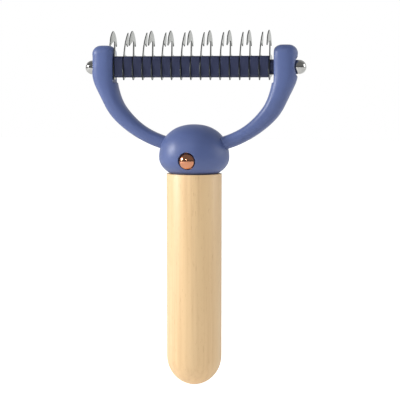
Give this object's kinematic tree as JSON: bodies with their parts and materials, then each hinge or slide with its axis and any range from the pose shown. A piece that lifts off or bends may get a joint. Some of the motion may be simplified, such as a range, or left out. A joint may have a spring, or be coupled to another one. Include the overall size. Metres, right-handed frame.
{
  "type": "undercoat rake",
  "caption": "Undercoat rake with a wooden handle, round push-button hub, bow-shaped fork and a row of alternating wide and fine blades on a square axle.",
  "frame": {"origin": "on the handle's axis, at the joint between the wooden handle and the hub", "axes": "+Z along the handle towards the blades, -Y the front with the button, X along the blade row"},
  "size_m": [0.1126, 0.0364, 0.1778],
  "materials": {
    "beech": "satin lacquered beech, grain along the handle",
    "blue_plastic": "satin blue moulded plastic",
    "navy_plastic": "darker navy moulded plastic",
    "bearing_plastic": "black bearing plastic",
    "blade_steel": "ground stainless steel",
    "polished_steel": "polished steel",
    "plain_steel": "plain turned steel",
    "copper_button": "polished copper plating"
  },
  "bodies": {
    "handle_and_fork": {"handle": "beech", "handle_plug": "plain_steel", "plug_screw": "plain_steel", "hub_front_shell": "blue_plastic", "hub_rear_shell": "blue_plastic", "hub_screws": "plain_steel", "button_spring": "plain_steel", "fork": "blue_plastic", "left_bushing": "bearing_plastic", "right_bushing": "bearing_plastic", "left_washer": "polished_steel", "right_washer": "polished_steel"},
    "button": {"catch_button": "copper_button", "catch_plate": "plain_steel"},
    "blade_head": {"axle_rod": "plain_steel", "end_collar": "navy_plastic", "left_dome_nut": "polished_steel", "right_dome_nut": "polished_steel", "wide_blade_1": "blade_steel", "wide_blade_2": "blade_steel", "wide_blade_3": "blade_steel", "wide_blade_4": "blade_steel", "wide_blade_5": "blade_steel", "wide_blade_6": "blade_steel", "wide_blade_7": "blade_steel", "wide_blade_8": "blade_steel", "wide_blade_9": "blade_steel", "fine_blade_1": "blade_steel", "fine_blade_2": "blade_steel", "fine_blade_3": "blade_steel", "fine_blade_4": "blade_steel", "fine_blade_5": "blade_steel", "fine_blade_6": "blade_steel", "fine_blade_7": "blade_steel", "fine_blade_8": "blade_steel", "spacer_1": "navy_plastic", "spacer_2": "navy_plastic", "spacer_3": "navy_plastic", "spacer_4": "navy_plastic", "spacer_5": "navy_plastic", "spacer_6": "navy_plastic", "spacer_7": "navy_plastic", "spacer_8": "navy_plastic", "spacer_9": "navy_plastic", "spacer_10": "navy_plastic", "spacer_11": "navy_plastic", "spacer_12": "navy_plastic", "spacer_13": "navy_plastic", "spacer_14": "navy_plastic", "spacer_15": "navy_plastic", "spacer_16": "navy_plastic"}
  },
  "joints": [
    {"name": "head_swivel", "type": "hinge", "parent": "handle_and_fork", "child": "blade_head", "pos_m": [0, 0, 0.053], "axis": [1, 0, 0], "range_deg": [-90, 90]},
    {"name": "button_press", "type": "slide", "parent": "handle_and_fork", "child": "button", "axis": [0, 1, 0], "range_m": [0, 0.0022], "stiffness_N_per_m": 800, "deforming": ["button_spring"]}
  ]
}
